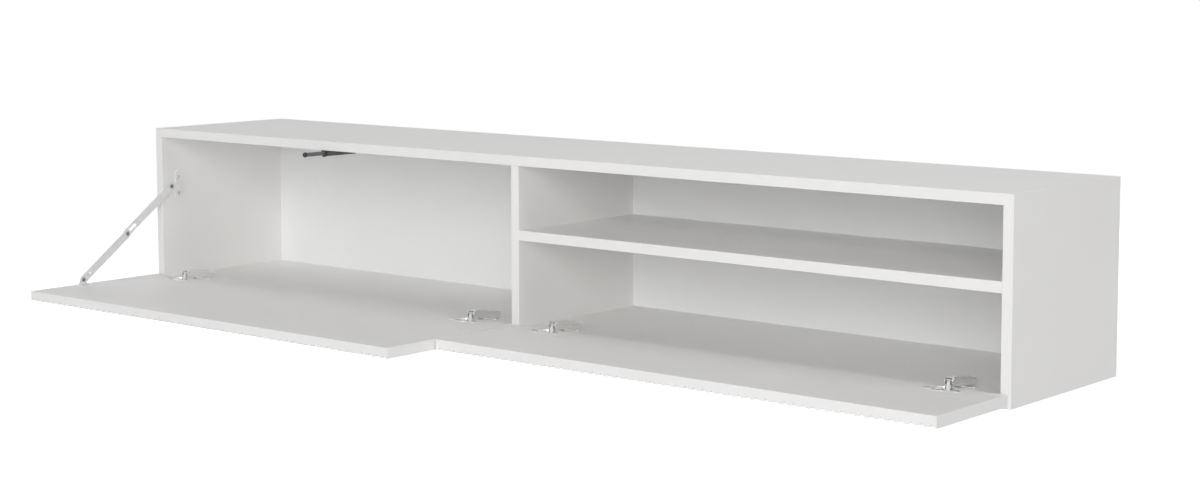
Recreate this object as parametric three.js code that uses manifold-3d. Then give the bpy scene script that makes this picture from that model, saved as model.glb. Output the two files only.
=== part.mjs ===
// Wall-hung media console, shown with both drop-down flaps open.
// Millimetres, +Z up, +Y towards the wall. In the drawing frame X 0 is the left outer side,
// Y 0 the front edges of the carcass and Z 0 its underside. The exported group is shifted so
// that its origin is the centre of the wall cleat's rear face, where the wall holds it.

import * as THREE from 'three';
import { mergeVertices } from 'three/addons/utils/BufferGeometryUtils.js';
import Module from 'manifold-3d';

const wasm = await Module();
wasm.setup();

// Carcass of mitred boards, with a divider, a fixed shelf and a thin back panel
const WIDTH = 2000;
const DEPTH = 344;
const HEIGHT = 326;
const BOARD = 18;
const BACK_THICKNESS = 4;
const SHELF_HEIGHT = 175;

// Hanging cleats in the cavity behind the back panel, with 45 degree bevels
const CAVITY_DEPTH = 16;
const WALL_CLEAT_INSET = 150;
const WALL_CLEAT_DROP = 68;
const WALL_CLEAT_HEIGHT = 60;
const WALL_SCREW_HOLE_RADIUS = 3;
const WALL_SCREW_INSET = 200;
const WALL_SCREW_COUNT = 4;

// Fits
const CLEARANCE = 0.3;
const OVERRUN = 5;
const ROUND_SEGMENTS = 32;
const SMALL_SEGMENTS = 12;
const ARC_SEGMENTS = 4;

// Flaps with a reeded outer face, lying open in front of the carcass
const FLAP_END_REVEAL = 4;
const FLAP_CENTRE_GAP = 4;
const FLAP_CLOSED_BOTTOM = 6;
const FLAP_TOP_REVEAL = 6;
const FLAP_SHELF_LAP = 13;
const FLAP_CORE = 14;
const FLAP_OPEN_RISE = 6;
const FLAP_OPEN_SETOFF = 5;
const FLAP_CLOSED_GAP = 3;
const FLAP_EDGE_CHAMFER = 1;
const REED_DEPTH = 5;
const REED_COUNT = 58;
const REED_SEGMENTS = 6;

// Cup hinges
const HINGE_INSET = 96;
const CUP_EDGE_DISTANCE = 22.5;
const CUP_RADIUS = 17.5;
const CUP_DEPTH = 11.5;
const CUP_WALL = 1;
const FLANGE_RADIUS = 18;
const FLANGE_THICKNESS = 1;
const FLANGE_REACH = 32.5;
const FLANGE_WING_WIDTH = 14;
const CUP_SCREW_REACH = 24;
const CUP_SCREW_SETBACK = 6;
const PLATE_REACH = 24;
const PLATE_FRONT = 30;
const PLATE_WIDTH = 14;
const PLATE_THICKNESS = 2;
const PLATE_SCREW_REACH = 16;
const SPINE_FRONT = 14;
const SPINE_TAIL = 2;
const ARM_TAIL = 58;
const ARM_LIFT = 3.5;
const ARM_HEIGHT = 18.5;
const ARM_WIDTH = 15;
const ARM_SHEET = 1.5;
const ARM_SIDE_SHARES = [
  [0, 0], [0, 0.51], [0.25, 0.68], [0.745, 0.945], [0.93, 1],
  [1, 0.73], [1, 0.51], [0.955, 0.24], [0.815, 0.24], [0.6, 0.03],
];
const INNER_PIVOT_SHARES = [0.965, 0.73];
const OUTER_PIVOT_SHARES = [0.913, 0.46];
const LINK_PIN_RADIUS = 1.25;
const INNER_LINK_LENGTH = 17.3;
const INNER_LINK_ANGLE = 252.1;
const INNER_LINK_HALF_WIDTH = 1.1;
const INNER_LINK_EYE_RADIUS = 2.2;
const INNER_LINK_WIDTH = 6;
const OUTER_LINK_FIRST = 7;
const OUTER_LINK_FIRST_ANGLE = 201;
const OUTER_LINK_SECOND = 8.1;
const OUTER_LINK_SECOND_ANGLE = 248.2;
const OUTER_LINK_HALF_WIDTH = 1.5;
const OUTER_LINK_CHEEK = 1.6;
const LINK_SIDE_GAP = 0.6;

// Screws: head radius, head height, shank radius and length below the head
const PLATE_SCREW = { head: 3.6, cap: 1.3, shank: 2.2, length: 13 };
const CUP_SCREW = { head: 3.6, cap: 1, shank: 1.7, length: 11 };
const STAY_SCREW = { head: 3.4, cap: 1.2, shank: 1.7, length: 14 };
const FLAP_STAY_SCREW = { head: 2.8, cap: 1, shank: 1.5, length: 11 };
const SCREW_POINT_SHARE = 2;
const SCREW_CROWN_SHARE = 0.75;

// Folding lid stay inside the left end
const STAY_SHEET = 1.5;
const STAY_SIDE_GAP = 0.4;
const STAY_ARM_WIDTH = 17;
const STAY_SIDE_SETBACK = 22;
const STAY_SIDE_HEIGHT = 204.5;
const STAY_FLAP_REACH = 203;
const STAY_FLAP_RISE = 12;
const STAY_LOWER_ARM = 138;
const STAY_SLOT_LENGTH = 27;
const STAY_SLOT_WIDTH = 6;
const STAY_PIN_RADIUS = 2.7;
const STAY_PIN_HEAD_RADIUS = 4.2;
const STAY_PIN_HEAD = 1;
const SIDE_BRACKET_FRONT = 33;
const SIDE_BRACKET_WIDTH = 18;
const SIDE_BRACKET_DROP = 28.5;
const SIDE_BRACKET_HEIGHT = 60;
const SIDE_BRACKET_SCREW_INSET = 13;
const SIDE_BRACKET_EYE_RADIUS = 7;
const FLAP_BRACKET_LENGTH = 25;
const FLAP_BRACKET_WIDTH = 15;
const FLAP_BRACKET_EYE_RADIUS = 6;
const FLAP_BRACKET_SCREW_PITCH = 15;
const FLAP_BRACKET_SCREW_SETOFF = 9.5;

// Push latch under the top panel
const LATCH_X = 502;
const LATCH_WIDTH = 13;
const LATCH_HEIGHT = 12;
const LATCH_SETBACK = 3;
const LATCH_LENGTH = 80;
const LATCH_COLLAR_RADIUS = 7.5;
const LATCH_COLLAR_LENGTH = 4;
const LATCH_TRAVEL = 45;
const PLUNGER_RADIUS = 4;
const PLUNGER_HIDDEN = 20;
const LATCH_BORE_DEPTH = 67;
const TIP_RADIUS = 5;
const TIP_LENGTH = 5;
const TIP_SEAT = 1;

// Values worked out from the sizes above
const INSIDE_DEPTH = DEPTH - CAVITY_DEPTH - BACK_THICKNESS;
const INNER_TOP = HEIGHT - BOARD;
const SHELF_TOP = SHELF_HEIGHT + BOARD;
const WALL_CLEAT_TOP = INNER_TOP - WALL_CLEAT_DROP;
const WALL_CLEAT_BOTTOM = WALL_CLEAT_TOP - WALL_CLEAT_HEIGHT;
const FLAP_LENGTH = WIDTH / 2 - FLAP_END_REVEAL - FLAP_CENTRE_GAP / 2;
const LEFT_FLAP_HEIGHT = HEIGHT - FLAP_CLOSED_BOTTOM - FLAP_TOP_REVEAL;
const RIGHT_FLAP_HEIGHT = SHELF_TOP + FLAP_SHELF_LAP - FLAP_CLOSED_BOTTOM;
const FLAP_OPEN_LEVEL = BOARD + FLAP_OPEN_RISE;
const HINGE_PLACES = [HINGE_INSET, FLAP_LENGTH - HINGE_INSET];
const ARM_NOSE = FLAP_CLOSED_GAP + CUP_DEPTH - CUP_WALL - CLEARANCE;
const SIDE_BRACKET_BOTTOM = STAY_SIDE_HEIGHT - SIDE_BRACKET_DROP;
const LATCH_AXIS = INNER_TOP - LATCH_HEIGHT / 2;
const TIP_FRONT = -LATCH_TRAVEL - FLAP_CLOSED_GAP + CLEARANCE;

const FINISHES = {
  lacquer: { color: 0xf0efed, roughness: 0.42, metalness: 0 },
  raw_board: { color: 0xd9c9a8, roughness: 0.8, metalness: 0 },
  nickel: { color: 0xb8bbbf, roughness: 0.28, metalness: 1 },
  stay_metal: { color: 0xc6c8ca, roughness: 0.4, metalness: 0.9 },
  steel: { color: 0xa9acb0, roughness: 0.35, metalness: 1 },
  dark_plastic: { color: 0x3c3e41, roughness: 0.5, metalness: 0 },
  grey_plastic: { color: 0x8d9093, roughness: 0.45, metalness: 0 },
  rubber: { color: 0x4a4b4d, roughness: 0.85, metalness: 0 },
};

function piece(name, geometry, finish) {
  const made = new THREE.Mesh(geometry, new THREE.MeshStandardMaterial(FINISHES[finish]));
  made.name = name;
  return made;
}

function groupAt(x, y, z) {
  const made = new THREE.Group();
  made.position.set(x, y, z);
  return made;
}

// Booleans
function asSolid(geometry) {
  const bare = geometry.clone();
  bare.deleteAttribute('normal');
  bare.deleteAttribute('uv');
  const merged = mergeVertices(bare);
  return new wasm.Manifold(new wasm.Mesh({
    numProp: 3,
    vertProperties: Float32Array.from(merged.attributes.position.array),
    triVerts: Uint32Array.from(merged.index.array),
  }));
}

function asGeometry(solid) {
  const mesh = solid.getMesh();
  const made = new THREE.BufferGeometry();
  made.setAttribute('position', new THREE.BufferAttribute(mesh.vertProperties, 3));
  made.setIndex(new THREE.BufferAttribute(mesh.triVerts, 1));
  return made;
}

function join(...geometries) {
  const solids = geometries.map(asSolid);
  return asGeometry(solids.reduce((whole, next) => whole.add(next)));
}

function cut(base, ...tools) {
  return asGeometry(tools.reduce((left, tool) => left.subtract(asSolid(tool)), asSolid(base)));
}

// Prisms: an outline drawn in the plane across the named axis, swept from one place to another
function shapeOf(points) {
  return new THREE.Shape(points.map(([across, up]) => new THREE.Vector2(across, up)));
}

function sweep(shape, from, to) {
  const outline = shape instanceof THREE.Shape ? shape : shapeOf(shape);
  const settings = { depth: to - from, bevelEnabled: false, curveSegments: ARC_SEGMENTS };
  return new THREE.ExtrudeGeometry(outline, settings);
}

function alongX(yz, from, to) {
  const turn = new THREE.Matrix4().set(0, 0, 1, from, 1, 0, 0, 0, 0, 1, 0, 0, 0, 0, 0, 1);
  return sweep(yz, from, to).applyMatrix4(turn);
}

function alongY(zx, from, to) {
  const turn = new THREE.Matrix4().set(0, 1, 0, 0, 0, 0, 1, from, 1, 0, 0, 0, 0, 0, 0, 1);
  return sweep(zx, from, to).applyMatrix4(turn);
}

function block(x, y, z) {
  const made = new THREE.BoxGeometry(x[1] - x[0], y[1] - y[0], z[1] - z[0]);
  return made.translate((x[0] + x[1]) / 2, (y[0] + y[1]) / 2, (z[0] + z[1]) / 2);
}

// Rods: a cylinder along an axis, from one place to another
function rodAlongY(radius, from, to, x, z, segments = SMALL_SEGMENTS) {
  const made = new THREE.CylinderGeometry(radius, radius, to - from, segments);
  return made.translate(x, (from + to) / 2, z);
}

function rodAlongZ(radius, from, to, x, y, segments = SMALL_SEGMENTS) {
  const made = new THREE.CylinderGeometry(radius, radius, to - from, segments);
  return made.rotateX(Math.PI / 2).translate(x, y, (from + to) / 2);
}

function rodAlongX(radius, from, to, y, z, segments = SMALL_SEGMENTS) {
  const made = new THREE.CylinderGeometry(radius, radius, to - from, segments);
  return made.rotateZ(-Math.PI / 2).translate((from + to) / 2, y, z);
}

// Outline of a bar with round ends, from one point to another
function barShape(start, end, radius) {
  const lean = Math.atan2(end[1] - start[1], end[0] - start[0]);
  const quarter = Math.PI / 2;
  const shape = new THREE.Shape();
  shape.absarc(end[0], end[1], radius, lean - quarter, lean + quarter, false);
  shape.absarc(start[0], start[1], radius, lean + quarter, lean + 3 * quarter, false);
  shape.closePath();
  return shape;
}

function pointFrom(start, length, degrees) {
  const angle = THREE.MathUtils.degToRad(degrees);
  return [start[0] + length * Math.cos(angle), start[1] + length * Math.sin(angle)];
}

// A screw standing head up, with the underside of its head at Z 0, and the hole it needs
function screwShape(screw) {
  const point = Math.min(screw.shank * SCREW_POINT_SHARE, screw.length);
  const profile = [
    new THREE.Vector2(0, -screw.length),
    new THREE.Vector2(screw.shank, point - screw.length),
    new THREE.Vector2(screw.shank, 0),
    new THREE.Vector2(screw.head, 0),
    new THREE.Vector2(screw.head * SCREW_CROWN_SHARE, screw.cap),
    new THREE.Vector2(0, screw.cap),
  ];
  return new THREE.LatheGeometry(profile, SMALL_SEGMENTS).rotateX(Math.PI / 2);
}

function screwHoleDown(screw, top, x, y) {
  const bottom = top - screw.length - CLEARANCE;
  return rodAlongZ(screw.shank + CLEARANCE, bottom, top + OVERRUN, x, y);
}

// Boards of the carcass
function bottomPanel() {
  const section = [[0, 0], [BOARD, BOARD], [BOARD, WIDTH - BOARD], [0, WIDTH]];
  const holes = [];
  for (const x of hingeCentres()) {
    for (const side of [-1, 1]) {
      const top = BOARD + PLATE_THICKNESS;
      const along = x + side * PLATE_SCREW_REACH;
      holes.push(screwHoleDown(PLATE_SCREW, top, along, PLATE_FRONT + PLATE_WIDTH / 2));
    }
  }
  return cut(alongY(section, 0, DEPTH), ...holes);
}

function topPanel() {
  const section = [[INNER_TOP, BOARD], [HEIGHT, 0], [HEIGHT, WIDTH], [INNER_TOP, WIDTH - BOARD]];
  return alongY(section, 0, DEPTH);
}

function leftSidePanel() {
  const section = [[0, 0], [BOARD, BOARD], [INNER_TOP, BOARD], [HEIGHT, 0]];
  const holes = sideScrewPlaces().map(([y, z]) => {
    const deep = BOARD + STAY_SHEET - STAY_SCREW.length - CLEARANCE;
    return rodAlongX(STAY_SCREW.shank + CLEARANCE, deep, BOARD + OVERRUN, y, z);
  });
  return cut(alongY(section, 0, DEPTH), ...holes);
}

function rightSidePanel() {
  const inner = WIDTH - BOARD;
  const section = [[0, WIDTH], [BOARD, inner], [INNER_TOP, inner], [HEIGHT, WIDTH]];
  return alongY(section, 0, DEPTH);
}

function carcassPieces() {
  const middle = WIDTH / 2;
  const inside = [BOARD, WIDTH - BOARD];
  const divider = [middle - BOARD / 2, middle + BOARD / 2];
  const bay = [divider[1], inside[1]];
  const upright = [BOARD, INNER_TOP];
  const open = [0, INSIDE_DEPTH];
  const back = [INSIDE_DEPTH, INSIDE_DEPTH + BACK_THICKNESS];
  return [
    piece('top_panel', topPanel(), 'lacquer'),
    piece('bottom_panel', bottomPanel(), 'lacquer'),
    piece('left_side_panel', leftSidePanel(), 'lacquer'),
    piece('right_side_panel', rightSidePanel(), 'lacquer'),
    piece('centre_divider', block(divider, open, upright), 'lacquer'),
    piece('fixed_shelf', block(bay, open, [SHELF_HEIGHT, SHELF_TOP]), 'lacquer'),
    piece('back_panel', block(inside, back, upright), 'lacquer'),
    piece('carcass_cleat', carcassCleat(), 'raw_board'),
    piece('wall_cleat', wallCleat(), 'raw_board'),
  ];
}

// The carcass cleat hooks down behind the wall cleat's raised front edge
function carcassCleat() {
  const front = DEPTH - CAVITY_DEPTH;
  const low = WALL_CLEAT_TOP + CLEARANCE * Math.SQRT2;
  const high = low + CAVITY_DEPTH;
  const section = [[DEPTH, low], [DEPTH, INNER_TOP], [front, INNER_TOP], [front, high]];
  return alongX(section, BOARD, WIDTH - BOARD);
}

function wallCleat() {
  const thickness = CAVITY_DEPTH - CLEARANCE;
  const front = DEPTH - thickness;
  const low = WALL_CLEAT_BOTTOM;
  const top = WALL_CLEAT_TOP;
  const section = [[DEPTH, low], [DEPTH, top], [front, top + thickness], [front, low]];
  const first = WALL_CLEAT_INSET + WALL_SCREW_INSET;
  const pitch = (WIDTH - 2 * first) / (WALL_SCREW_COUNT - 1);
  const holes = [];
  for (let hole = 0; hole < WALL_SCREW_COUNT; hole += 1) {
    const x = first + hole * pitch;
    const z = low + WALL_CLEAT_HEIGHT / 2;
    holes.push(rodAlongY(WALL_SCREW_HOLE_RADIUS, front - OVERRUN, DEPTH + OVERRUN, x, z));
  }
  const body = alongX(section, WALL_CLEAT_INSET, WIDTH - WALL_CLEAT_INSET);
  return cut(body, ...holes);
}

// Flaps, drawn from the hinge-side corner of the inner face: X along, Y back from it, Z out of it
function flapCorners() {
  return [FLAP_END_REVEAL, WIDTH / 2 + FLAP_CENTRE_GAP / 2];
}

function hingeCentres() {
  return flapCorners().flatMap((corner) => HINGE_PLACES.map((place) => corner + place));
}

function reededSection() {
  const pitch = FLAP_LENGTH / REED_COUNT;
  const half = pitch / 2;
  const radius = (half * half + REED_DEPTH * REED_DEPTH) / (2 * REED_DEPTH);
  const spread = Math.asin(half / radius);
  const crest = -(FLAP_CORE + REED_DEPTH);
  const section = [[0, FLAP_LENGTH], [0, 0]];
  const steps = REED_SEGMENTS / 2;
  for (let groove = 0; groove < REED_COUNT; groove += 1) {
    const middle = (groove + 1 / 2) * pitch;
    for (let step = 0; step <= steps; step += 1) {
      const angle = spread * step / steps;
      const x = middle - half + radius * Math.sin(angle);
      section.push([crest + radius * (1 - Math.cos(angle)), x]);
    }
    for (let step = steps - 1; step > 0; step -= 1) {
      const angle = spread * step / steps;
      const x = middle + half - radius * Math.sin(angle);
      section.push([crest + radius * (1 - Math.cos(angle)), x]);
    }
  }
  section.push([crest, FLAP_LENGTH]);
  return section;
}

function flapPanel(height, extraHoles) {
  const reach = OVERRUN + FLAP_EDGE_CHAMFER;
  const corner = [[-reach, OVERRUN], [OVERRUN, OVERRUN], [OVERRUN, -reach]];
  const chamfer = alongX(corner, -OVERRUN, FLAP_LENGTH + OVERRUN);
  const holes = [];
  for (const place of HINGE_PLACES) {
    const floor = -(CUP_DEPTH + CLEARANCE);
    const bore = CUP_RADIUS + CLEARANCE;
    holes.push(rodAlongZ(bore, floor, OVERRUN, place, -CUP_EDGE_DISTANCE, ROUND_SEGMENTS));
    for (const side of [-1, 1]) {
      const x = place + side * CUP_SCREW_REACH;
      const y = -CUP_EDGE_DISTANCE - CUP_SCREW_SETBACK;
      holes.push(screwHoleDown(CUP_SCREW, FLANGE_THICKNESS, x, y));
    }
  }
  return cut(alongY(reededSection(), -height, 0), chamfer, ...holes, ...extraHoles);
}

function hingeCup(place) {
  const flange = rodAlongZ(FLANGE_RADIUS, 0, FLANGE_THICKNESS, 0, 0, ROUND_SEGMENTS);
  const half = FLANGE_WING_WIDTH / 2;
  const across = [-CUP_SCREW_SETBACK - half, -CUP_SCREW_SETBACK + half];
  const wings = block([-FLANGE_REACH, FLANGE_REACH], across, [0, FLANGE_THICKNESS]);
  const bowl = rodAlongZ(CUP_RADIUS, -CUP_DEPTH, FLANGE_THICKNESS, 0, 0, ROUND_SEGMENTS);
  const inside = CUP_RADIUS - CUP_WALL;
  const hollow = rodAlongZ(inside, CUP_WALL - CUP_DEPTH, OVERRUN, 0, 0, ROUND_SEGMENTS);
  const holes = [-1, 1].map((side) => (
    screwHoleDown(CUP_SCREW, FLANGE_THICKNESS, side * CUP_SCREW_REACH, -CUP_SCREW_SETBACK)
  ));
  const cup = cut(join(flange, wings, bowl), hollow, ...holes);
  return cup.translate(place, -CUP_EDGE_DISTANCE, 0);
}

function flapGroup(side, corner, height, extraHoles = []) {
  const group = groupAt(corner, -FLAP_OPEN_SETOFF, FLAP_OPEN_LEVEL);
  group.add(piece(`${side}_flap`, flapPanel(height, extraHoles), 'lacquer'));
  HINGE_PLACES.forEach((place, index) => {
    const name = `${side}_hinge_${index + 1}`;
    group.add(piece(`${name}_cup`, hingeCup(place), 'nickel'));
    [-1, 1].forEach((way, screw) => {
      const made = piece(`${name}_cup_screw_${screw + 1}`, screwShape(CUP_SCREW), 'steel');
      made.position.set(
        place + way * CUP_SCREW_REACH,
        -CUP_EDGE_DISTANCE - CUP_SCREW_SETBACK,
        FLANGE_THICKNESS,
      );
      group.add(made);
    });
  });
  return group;
}

// Hinge pieces fixed to the bottom panel, drawn from its top face under the hinge's centre
function armPoint([along, up]) {
  return [ARM_TAIL - along * (ARM_TAIL + ARM_NOSE), ARM_LIFT + up * ARM_HEIGHT];
}

function armTopPoints() {
  return ARM_SIDE_SHARES.slice(1, 5).map(armPoint);
}

function hingeArm() {
  const half = ARM_WIDTH / 2;
  const inner = half - ARM_SHEET;
  const body = alongX(ARM_SIDE_SHARES.map(armPoint), -half, half);
  const roof = armTopPoints().map(([y, z]) => [y, z - ARM_SHEET]);
  const front = -ARM_NOSE - OVERRUN;
  const back = ARM_TAIL + OVERRUN;
  const channel = [
    [back, -OVERRUN], [back, roof[0][1]], ...roof, [front, roof.at(-1)[1]], [front, -OVERRUN],
  ];
  return cut(body, alongX(channel, -inner, inner));
}

function mountingPlate() {
  const back = PLATE_FRONT + PLATE_WIDTH;
  const wings = block([-PLATE_REACH, PLATE_REACH], [PLATE_FRONT, back], [0, PLATE_THICKNESS]);
  const inner = ARM_WIDTH / 2 - ARM_SHEET - CLEARANCE;
  const [tail, shoulder, brow] = armTopPoints().map(([y, z]) => [y, z - ARM_SHEET - CLEARANCE]);
  const slope = (brow[1] - shoulder[1]) / (shoulder[0] - brow[0]);
  const frontTop = shoulder[1] + slope * (shoulder[0] - SPINE_FRONT);
  const end = ARM_TAIL + SPINE_TAIL;
  const side = [
    [SPINE_FRONT, 0], [end, 0], [end, tail[1]], tail, shoulder, [SPINE_FRONT, frontTop],
  ];
  const spine = alongX(side, -inner, inner);
  const middle = PLATE_FRONT + PLATE_WIDTH / 2;
  const holes = [-1, 1].map((way) => (
    screwHoleDown(PLATE_SCREW, PLATE_THICKNESS, way * PLATE_SCREW_REACH, middle)
  ));
  return cut(join(wings, spine), ...holes);
}

function innerLink() {
  const pivot = armPoint(INNER_PIVOT_SHARES);
  const end = pointFrom(pivot, INNER_LINK_LENGTH, INNER_LINK_ANGLE);
  const half = INNER_LINK_WIDTH / 2;
  const pinHalf = ARM_WIDTH / 2 - ARM_SHEET - CLEARANCE;
  const bar = alongX(barShape(pivot, end, INNER_LINK_HALF_WIDTH), -half, half);
  const eyes = [pivot, end].map(([y, z]) => rodAlongX(INNER_LINK_EYE_RADIUS, -half, half, y, z));
  return join(bar, ...eyes, rodAlongX(LINK_PIN_RADIUS, -pinHalf, pinHalf, ...pivot));
}

function outerLink() {
  const pivot = armPoint(OUTER_PIVOT_SHARES);
  const knee = pointFrom(pivot, OUTER_LINK_FIRST, OUTER_LINK_FIRST_ANGLE);
  const end = pointFrom(knee, OUTER_LINK_SECOND, OUTER_LINK_SECOND_ANGLE);
  const near = INNER_LINK_WIDTH / 2 + LINK_SIDE_GAP;
  const far = near + OUTER_LINK_CHEEK;
  const pinHalf = ARM_WIDTH / 2 - ARM_SHEET - CLEARANCE;
  const cheeks = [[-far, -near], [near, far]].flatMap(([from, to]) => [
    alongX(barShape(pivot, knee, OUTER_LINK_HALF_WIDTH), from, to),
    alongX(barShape(knee, end, OUTER_LINK_HALF_WIDTH), from, to),
  ]);
  return join(rodAlongX(LINK_PIN_RADIUS, -pinHalf, pinHalf, ...pivot), ...cheeks);
}

function hingeGroup(name, x) {
  const group = groupAt(x, 0, BOARD);
  group.add(piece(`${name}_mounting_plate`, mountingPlate(), 'nickel'));
  group.add(piece(`${name}_arm`, hingeArm(), 'nickel'));
  group.add(piece(`${name}_inner_link`, innerLink(), 'steel'));
  group.add(piece(`${name}_outer_link`, outerLink(), 'steel'));
  [-1, 1].forEach((way, screw) => {
    const made = piece(`${name}_plate_screw_${screw + 1}`, screwShape(PLATE_SCREW), 'steel');
    made.position.set(way * PLATE_SCREW_REACH, PLATE_FRONT + PLATE_WIDTH / 2, PLATE_THICKNESS);
    group.add(made);
  });
  return group;
}

// Lid stay: two arms in parallel planes, drawn from the inner face of the left side panel
function stayPivots() {
  const side = [STAY_SIDE_SETBACK, STAY_SIDE_HEIGHT];
  const flap = [-FLAP_OPEN_SETOFF - STAY_FLAP_REACH, FLAP_OPEN_LEVEL + STAY_FLAP_RISE];
  const lean = Math.atan2(side[1] - flap[1], side[0] - flap[0]);
  const elbow = [
    flap[0] + STAY_LOWER_ARM * Math.cos(lean),
    flap[1] + STAY_LOWER_ARM * Math.sin(lean),
  ];
  return { side, flap, elbow, lean };
}

function stayPlanes() {
  const upper = STAY_SHEET + STAY_SIDE_GAP;
  const lug = upper + STAY_SHEET + STAY_SIDE_GAP;
  const lower = lug + STAY_SHEET + STAY_SIDE_GAP;
  return { upper, lug, lower };
}

function sideScrewPlaces() {
  const y = SIDE_BRACKET_FRONT + SIDE_BRACKET_WIDTH / 2;
  const low = SIDE_BRACKET_BOTTOM + SIDE_BRACKET_SCREW_INSET;
  const high = SIDE_BRACKET_BOTTOM + SIDE_BRACKET_HEIGHT - SIDE_BRACKET_SCREW_INSET;
  return [[y, low], [y, high]];
}

function sideBracket() {
  const { side } = stayPivots();
  const { upper } = stayPlanes();
  const back = SIDE_BRACKET_FRONT + SIDE_BRACKET_WIDTH;
  const top = SIDE_BRACKET_BOTTOM + SIDE_BRACKET_HEIGHT;
  const plate = block([0, STAY_SHEET], [SIDE_BRACKET_FRONT, back], [SIDE_BRACKET_BOTTOM, top]);
  const inPlate = [SIDE_BRACKET_FRONT + SIDE_BRACKET_WIDTH / 2, side[1]];
  const neck = alongX(barShape(side, inPlate, SIDE_BRACKET_EYE_RADIUS), 0, STAY_SHEET);
  const outer = upper + STAY_SHEET + CLEARANCE;
  const stud = rodAlongX(STAY_PIN_RADIUS, 0, outer, ...side);
  const head = rodAlongX(STAY_PIN_HEAD_RADIUS, outer, outer + STAY_PIN_HEAD, ...side);
  const hole = STAY_SCREW.shank + CLEARANCE;
  const holes = sideScrewPlaces().map(([y, z]) => rodAlongX(hole, -OVERRUN, OVERRUN, y, z));
  return cut(join(plate, neck, stud, head), ...holes);
}

function upperArm() {
  const { side, elbow, lean } = stayPivots();
  const { upper } = stayPlanes();
  const slotStart = [
    elbow[0] + STAY_SLOT_LENGTH * Math.cos(lean),
    elbow[1] + STAY_SLOT_LENGTH * Math.sin(lean),
  ];
  const shape = barShape(side, elbow, STAY_ARM_WIDTH / 2);
  const slotShape = barShape(slotStart, elbow, STAY_SLOT_WIDTH / 2);
  const slot = alongX(slotShape, upper - OVERRUN, upper + OVERRUN);
  const eye = rodAlongX(STAY_PIN_RADIUS + CLEARANCE, upper - OVERRUN, upper + OVERRUN, ...side);
  return cut(alongX(shape, upper, upper + STAY_SHEET), slot, eye);
}

function lowerArm() {
  const { flap, elbow } = stayPivots();
  const { lower } = stayPlanes();
  const shape = barShape(elbow, flap, STAY_ARM_WIDTH / 2);
  const holes = [elbow, flap].map((place) => (
    rodAlongX(STAY_PIN_RADIUS + CLEARANCE, lower - OVERRUN, lower + OVERRUN, ...place)
  ));
  return cut(alongX(shape, lower, lower + STAY_SHEET), ...holes);
}

function stayRivet() {
  const { elbow } = stayPivots();
  const { upper, lower } = stayPlanes();
  const shoulder = upper + STAY_SHEET + STAY_SIDE_GAP;
  const collar = rodAlongX(STAY_PIN_HEAD_RADIUS, shoulder, lower - CLEARANCE, ...elbow);
  const outer = lower + STAY_SHEET + CLEARANCE;
  const shank = rodAlongX(STAY_PIN_RADIUS, shoulder, outer, ...elbow);
  const head = rodAlongX(STAY_PIN_HEAD_RADIUS, outer, outer + STAY_PIN_HEAD, ...elbow);
  return join(collar, shank, head);
}

function flapBracket() {
  const { flap } = stayPivots();
  const { lug, lower } = stayPlanes();
  const foot = block(
    [lug, lug + FLAP_BRACKET_WIDTH],
    [flap[0] - FLAP_BRACKET_LENGTH / 2, flap[0] + FLAP_BRACKET_LENGTH / 2],
    [FLAP_OPEN_LEVEL, FLAP_OPEN_LEVEL + STAY_SHEET],
  );
  const shape = new THREE.Shape();
  const base = FLAP_OPEN_LEVEL;
  shape.moveTo(flap[0] - FLAP_BRACKET_LENGTH / 2, base);
  shape.lineTo(flap[0] + FLAP_BRACKET_LENGTH / 2, base);
  shape.absarc(flap[0], flap[1], FLAP_BRACKET_EYE_RADIUS, 0, Math.PI, false);
  shape.closePath();
  const ear = alongX(shape, lug, lug + STAY_SHEET);
  const outer = lower + STAY_SHEET + CLEARANCE;
  const stud = rodAlongX(STAY_PIN_RADIUS, lug, outer, ...flap);
  const head = rodAlongX(STAY_PIN_HEAD_RADIUS, outer, outer + STAY_PIN_HEAD, ...flap);
  const holes = flapStayScrews().map(([x, y]) => (
    screwHoleDown(FLAP_STAY_SCREW, FLAP_OPEN_LEVEL + STAY_SHEET, x, y)
  ));
  return cut(join(foot, ear, stud, head), ...holes);
}

function flapStayScrews() {
  const { flap } = stayPivots();
  const { lug } = stayPlanes();
  const x = lug + FLAP_BRACKET_SCREW_SETOFF;
  return [-1, 1].map((way) => [x, flap[0] + way * FLAP_BRACKET_SCREW_PITCH / 2]);
}

// The same screw holes seen from the left flap's own corner
function stayHolesInFlap() {
  return flapStayScrews().map(([x, y]) => screwHoleDown(
    FLAP_STAY_SCREW,
    STAY_SHEET,
    x + BOARD - FLAP_END_REVEAL,
    y + FLAP_OPEN_SETOFF,
  ));
}

function stayGroup() {
  const group = groupAt(BOARD, 0, 0);
  group.add(piece('stay_side_bracket', sideBracket(), 'stay_metal'));
  group.add(piece('stay_upper_arm', upperArm(), 'stay_metal'));
  group.add(piece('stay_lower_arm', lowerArm(), 'stay_metal'));
  group.add(piece('stay_rivet', stayRivet(), 'steel'));
  group.add(piece('stay_flap_bracket', flapBracket(), 'stay_metal'));
  sideScrewPlaces().forEach(([y, z], index) => {
    const made = piece(`stay_side_screw_${index + 1}`, screwShape(STAY_SCREW), 'steel');
    made.rotation.y = Math.PI / 2;
    made.position.set(STAY_SHEET, y, z);
    group.add(made);
  });
  flapStayScrews().forEach(([x, y], index) => {
    const made = piece(`stay_flap_screw_${index + 1}`, screwShape(FLAP_STAY_SCREW), 'steel');
    made.position.set(x, y, FLAP_OPEN_LEVEL + STAY_SHEET);
    group.add(made);
  });
  return group;
}

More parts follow.
